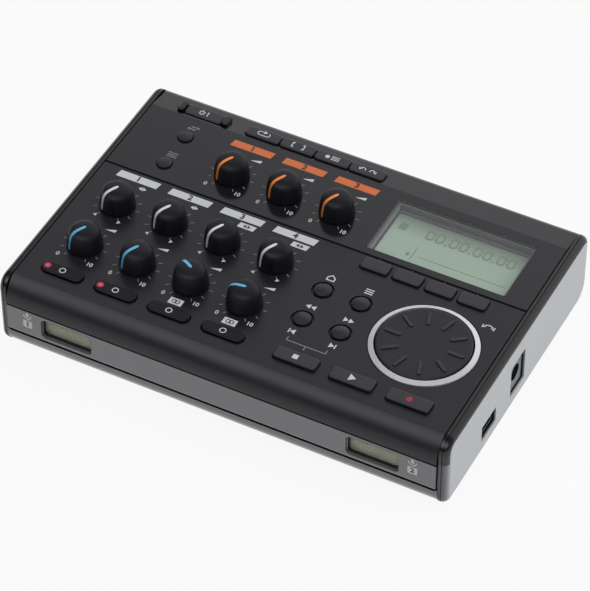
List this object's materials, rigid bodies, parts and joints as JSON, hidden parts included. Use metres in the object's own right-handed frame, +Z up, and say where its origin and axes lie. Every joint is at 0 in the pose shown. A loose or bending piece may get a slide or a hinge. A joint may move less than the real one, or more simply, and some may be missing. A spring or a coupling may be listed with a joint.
{
  "type": "digital multitrack recorder",
  "caption": "Palm-size desktop multitrack recorder with level and pan knobs, a data wheel, transport keys, a small display and front microphones.",
  "frame": {"origin": "middle of the footprint on the table, under the rubber feet", "axes": "+X to the user's right, +Y to the jack panel, +Z up through the control panel"},
  "size_m": [0.155, 0.107, 0.0352],
  "materials": {
    "panel_black": "satin moulded ABS",
    "gloss_black": "gloss moulded ABS",
    "silver_paint": "silver painted ABS",
    "case_grey": "dark silver painted ABS",
    "mic_mesh": "fine woven mesh",
    "clear_window": "clear acrylic",
    "lcd_grey": "display glass in a grey frame",
    "ring_silver": "satin plated ring",
    "knob_black": "matt soft-touch knob",
    "key_black": "matt moulded key",
    "part_dark": "component body",
    "board_green": "circuit board",
    "jack_black": "moulded jack body",
    "socket_grey": "moulded socket",
    "bright_steel": "plated steel",
    "screw_steel": "zinc plated screw",
    "cell_wrap": "cell wrapper",
    "card_blue": "moulded card shell",
    "foot_rubber": "rubber foot"
  },
  "bodies": {
    "case": {"top_cover": "panel_black", "edge_rails": "gloss_black", "left_cheek": "silver_paint", "right_cheek": "silver_paint", "bottom_cover": "case_grey", "rear_panel": "case_grey", "front_fascia": "case_grey", "mic_screens": "mic_mesh", "mic_capsules": "bright_steel", "display_window": "clear_window", "lcd_module": "lcd_grey", "wheel_ring": "ring_silver", "wheel_encoder": "part_dark", "circuit_boards": "board_green", "potentiometers": "part_dark", "tact_switches": "part_dark", "rear_jacks": "jack_black", "dc_jack": "socket_grey", "usb_port": "bright_steel", "sd_socket": "bright_steel", "batteries": "cell_wrap", "battery_contacts": "bright_steel", "feet": "foot_rubber", "screws": "screw_steel"},
    "input_a_knob": {"input_a_knob": "knob_black"},
    "input_b_knob": {"input_b_knob": "knob_black"},
    "master_knob": {"master_knob": "knob_black"},
    "pan_knob_1": {"pan_knob_1": "knob_black"},
    "pan_knob_2": {"pan_knob_2": "knob_black"},
    "pan_knob_3": {"pan_knob_3": "knob_black"},
    "pan_knob_4": {"pan_knob_4": "knob_black"},
    "level_knob_1": {"level_knob_1": "knob_black"},
    "level_knob_2": {"level_knob_2": "knob_black"},
    "level_knob_3": {"level_knob_3": "knob_black"},
    "level_knob_4": {"level_knob_4": "knob_black"},
    "data_wheel": {"data_wheel": "knob_black"},
    "power_button": {"power_button": "key_black"},
    "repeat_button": {"repeat_button": "key_black"},
    "in_out_button": {"in_out_button": "key_black"},
    "mode_button": {"mode_button": "key_black"},
    "undo_button": {"undo_button": "key_black"},
    "setting_button": {"setting_button": "key_black"},
    "assign_button": {"assign_button": "key_black"},
    "track_button_1": {"track_button_1": "key_black"},
    "track_button_2": {"track_button_2": "key_black"},
    "track_button_3": {"track_button_3": "key_black"},
    "track_button_4": {"track_button_4": "key_black"},
    "home_button": {"home_button": "key_black"},
    "menu_button": {"menu_button": "key_black"},
    "rewind_button": {"rewind_button": "key_black"},
    "forward_button": {"forward_button": "key_black"},
    "soft_key_1": {"soft_key_1": "key_black"},
    "soft_key_2": {"soft_key_2": "key_black"},
    "soft_key_3": {"soft_key_3": "key_black"},
    "soft_key_4": {"soft_key_4": "key_black"},
    "stop_button": {"stop_button": "key_black"},
    "play_button": {"play_button": "key_black"},
    "record_button": {"record_button": "key_black"},
    "battery_door": {"battery_door": "case_grey"},
    "sd_card": {"sd_card": "card_blue"}
  },
  "joints": [
    {"name": "input_a_knob_turn", "type": "hinge", "parent": "case", "child": "input_a_knob", "pos_m": [-0.0349, 0.022, 0.03], "axis": [0, 0, 1], "range_deg": [-300, 0]},
    {"name": "input_b_knob_turn", "type": "hinge", "parent": "case", "child": "input_b_knob", "pos_m": [-0.0161, 0.022, 0.03], "axis": [0, 0, 1], "range_deg": [-300, 0]},
    {"name": "master_knob_turn", "type": "hinge", "parent": "case", "child": "master_knob", "pos_m": [0.0027, 0.022, 0.03], "axis": [0, 0, 1], "range_deg": [-300, 0]},
    {"name": "pan_knob_1_turn", "type": "hinge", "parent": "case", "child": "pan_knob_1", "pos_m": [-0.06055, -0.0067, 0.03], "axis": [0, 0, 1], "range_deg": [-300, 0]},
    {"name": "pan_knob_2_turn", "type": "hinge", "parent": "case", "child": "pan_knob_2", "pos_m": [-0.04175, -0.0067, 0.03], "axis": [0, 0, 1], "range_deg": [-300, 0]},
    {"name": "pan_knob_3_turn", "type": "hinge", "parent": "case", "child": "pan_knob_3", "pos_m": [-0.02295, -0.0067, 0.03], "axis": [0, 0, 1], "range_deg": [-300, 0]},
    {"name": "pan_knob_4_turn", "type": "hinge", "parent": "case", "child": "pan_knob_4", "pos_m": [-0.00415, -0.0067, 0.03], "axis": [0, 0, 1], "range_deg": [-300, 0]},
    {"name": "level_knob_1_turn", "type": "hinge", "parent": "case", "child": "level_knob_1", "pos_m": [-0.06055, -0.0272, 0.03], "axis": [0, 0, 1], "range_deg": [-300, 0]},
    {"name": "level_knob_2_turn", "type": "hinge", "parent": "case", "child": "level_knob_2", "pos_m": [-0.04175, -0.0272, 0.03], "axis": [0, 0, 1], "range_deg": [-300, 0]},
    {"name": "level_knob_3_turn", "type": "hinge", "parent": "case", "child": "level_knob_3", "pos_m": [-0.02295, -0.0272, 0.03], "axis": [0, 0, 1], "range_deg": [-210, 90]},
    {"name": "level_knob_4_turn", "type": "hinge", "parent": "case", "child": "level_knob_4", "pos_m": [-0.00415, -0.0272, 0.03], "axis": [0, 0, 1], "range_deg": [-245, 55]},
    {"name": "data_wheel_turn", "type": "hinge", "parent": "case", "child": "data_wheel", "pos_m": [0.05275, -0.0181, 0.027], "axis": [0, 0, 1], "continuous": true},
    {"name": "power_button_press", "type": "slide", "parent": "case", "child": "power_button", "axis": [0, 0, -1], "range_m": [0, 0.0005], "stiffness_N_per_m": 800},
    {"name": "repeat_button_press", "type": "slide", "parent": "case", "child": "repeat_button", "axis": [0, 0, -1], "range_m": [0, 0.0005], "stiffness_N_per_m": 800},
    {"name": "in_out_button_press", "type": "slide", "parent": "case", "child": "in_out_button", "axis": [0, 0, -1], "range_m": [0, 0.0005], "stiffness_N_per_m": 800},
    {"name": "mode_button_press", "type": "slide", "parent": "case", "child": "mode_button", "axis": [0, 0, -1], "range_m": [0, 0.0005], "stiffness_N_per_m": 800},
    {"name": "undo_button_press", "type": "slide", "parent": "case", "child": "undo_button", "axis": [0, 0, -1], "range_m": [0, 0.0005], "stiffness_N_per_m": 800},
    {"name": "setting_button_press", "type": "slide", "parent": "case", "child": "setting_button", "axis": [0, 0, -1], "range_m": [0, 0.0005], "stiffness_N_per_m": 800},
    {"name": "assign_button_press", "type": "slide", "parent": "case", "child": "assign_button", "axis": [0, 0, -1], "range_m": [0, 0.0005], "stiffness_N_per_m": 800},
    {"name": "track_button_1_press", "type": "slide", "parent": "case", "child": "track_button_1", "axis": [0, 0, -1], "range_m": [0, 0.0005], "stiffness_N_per_m": 800},
    {"name": "track_button_2_press", "type": "slide", "parent": "case", "child": "track_button_2", "axis": [0, 0, -1], "range_m": [0, 0.0005], "stiffness_N_per_m": 800},
    {"name": "track_button_3_press", "type": "slide", "parent": "case", "child": "track_button_3", "axis": [0, 0, -1], "range_m": [0, 0.0005], "stiffness_N_per_m": 800},
    {"name": "track_button_4_press", "type": "slide", "parent": "case", "child": "track_button_4", "axis": [0, 0, -1], "range_m": [0, 0.0005], "stiffness_N_per_m": 800},
    {"name": "home_button_press", "type": "slide", "parent": "case", "child": "home_button", "axis": [0, 0, -1], "range_m": [0, 0.0005], "stiffness_N_per_m": 800},
    {"name": "menu_button_press", "type": "slide", "parent": "case", "child": "menu_button", "axis": [0, 0, -1], "range_m": [0, 0.0005], "stiffness_N_per_m": 800},
    {"name": "rewind_button_press", "type": "slide", "parent": "case", "child": "rewind_button", "axis": [0, 0, -1], "range_m": [0, 0.0005], "stiffness_N_per_m": 800},
    {"name": "forward_button_press", "type": "slide", "parent": "case", "child": "forward_button", "axis": [0, 0, -1], "range_m": [0, 0.0005], "stiffness_N_per_m": 800},
    {"name": "soft_key_1_press", "type": "slide", "parent": "case", "child": "soft_key_1", "axis": [0, 0, -1], "range_m": [0, 0.0005], "stiffness_N_per_m": 800},
    {"name": "soft_key_2_press", "type": "slide", "parent": "case", "child": "soft_key_2", "axis": [0, 0, -1], "range_m": [0, 0.0005], "stiffness_N_per_m": 800},
    {"name": "soft_key_3_press", "type": "slide", "parent": "case", "child": "soft_key_3", "axis": [0, 0, -1], "range_m": [0, 0.0005], "stiffness_N_per_m": 800},
    {"name": "soft_key_4_press", "type": "slide", "parent": "case", "child": "soft_key_4", "axis": [0, 0, -1], "range_m": [0, 0.0005], "stiffness_N_per_m": 800},
    {"name": "stop_button_press", "type": "slide", "parent": "case", "child": "stop_button", "axis": [0, 0, -1], "range_m": [0, 0.0005], "stiffness_N_per_m": 800},
    {"name": "play_button_press", "type": "slide", "parent": "case", "child": "play_button", "axis": [0, 0, -1], "range_m": [0, 0.0005], "stiffness_N_per_m": 800},
    {"name": "record_button_press", "type": "slide", "parent": "case", "child": "record_button", "axis": [0, 0, -1], "range_m": [0, 0.0005], "stiffness_N_per_m": 800},
    {"name": "battery_door_lift", "type": "slide", "parent": "case", "child": "battery_door", "axis": [0, 0, -1], "range_m": [0, 0.015]},
    {"name": "sd_card_slide", "type": "slide", "parent": "case", "child": "sd_card", "axis": [-1, 0, 0], "range_m": [0, 0.026]}
  ]
}
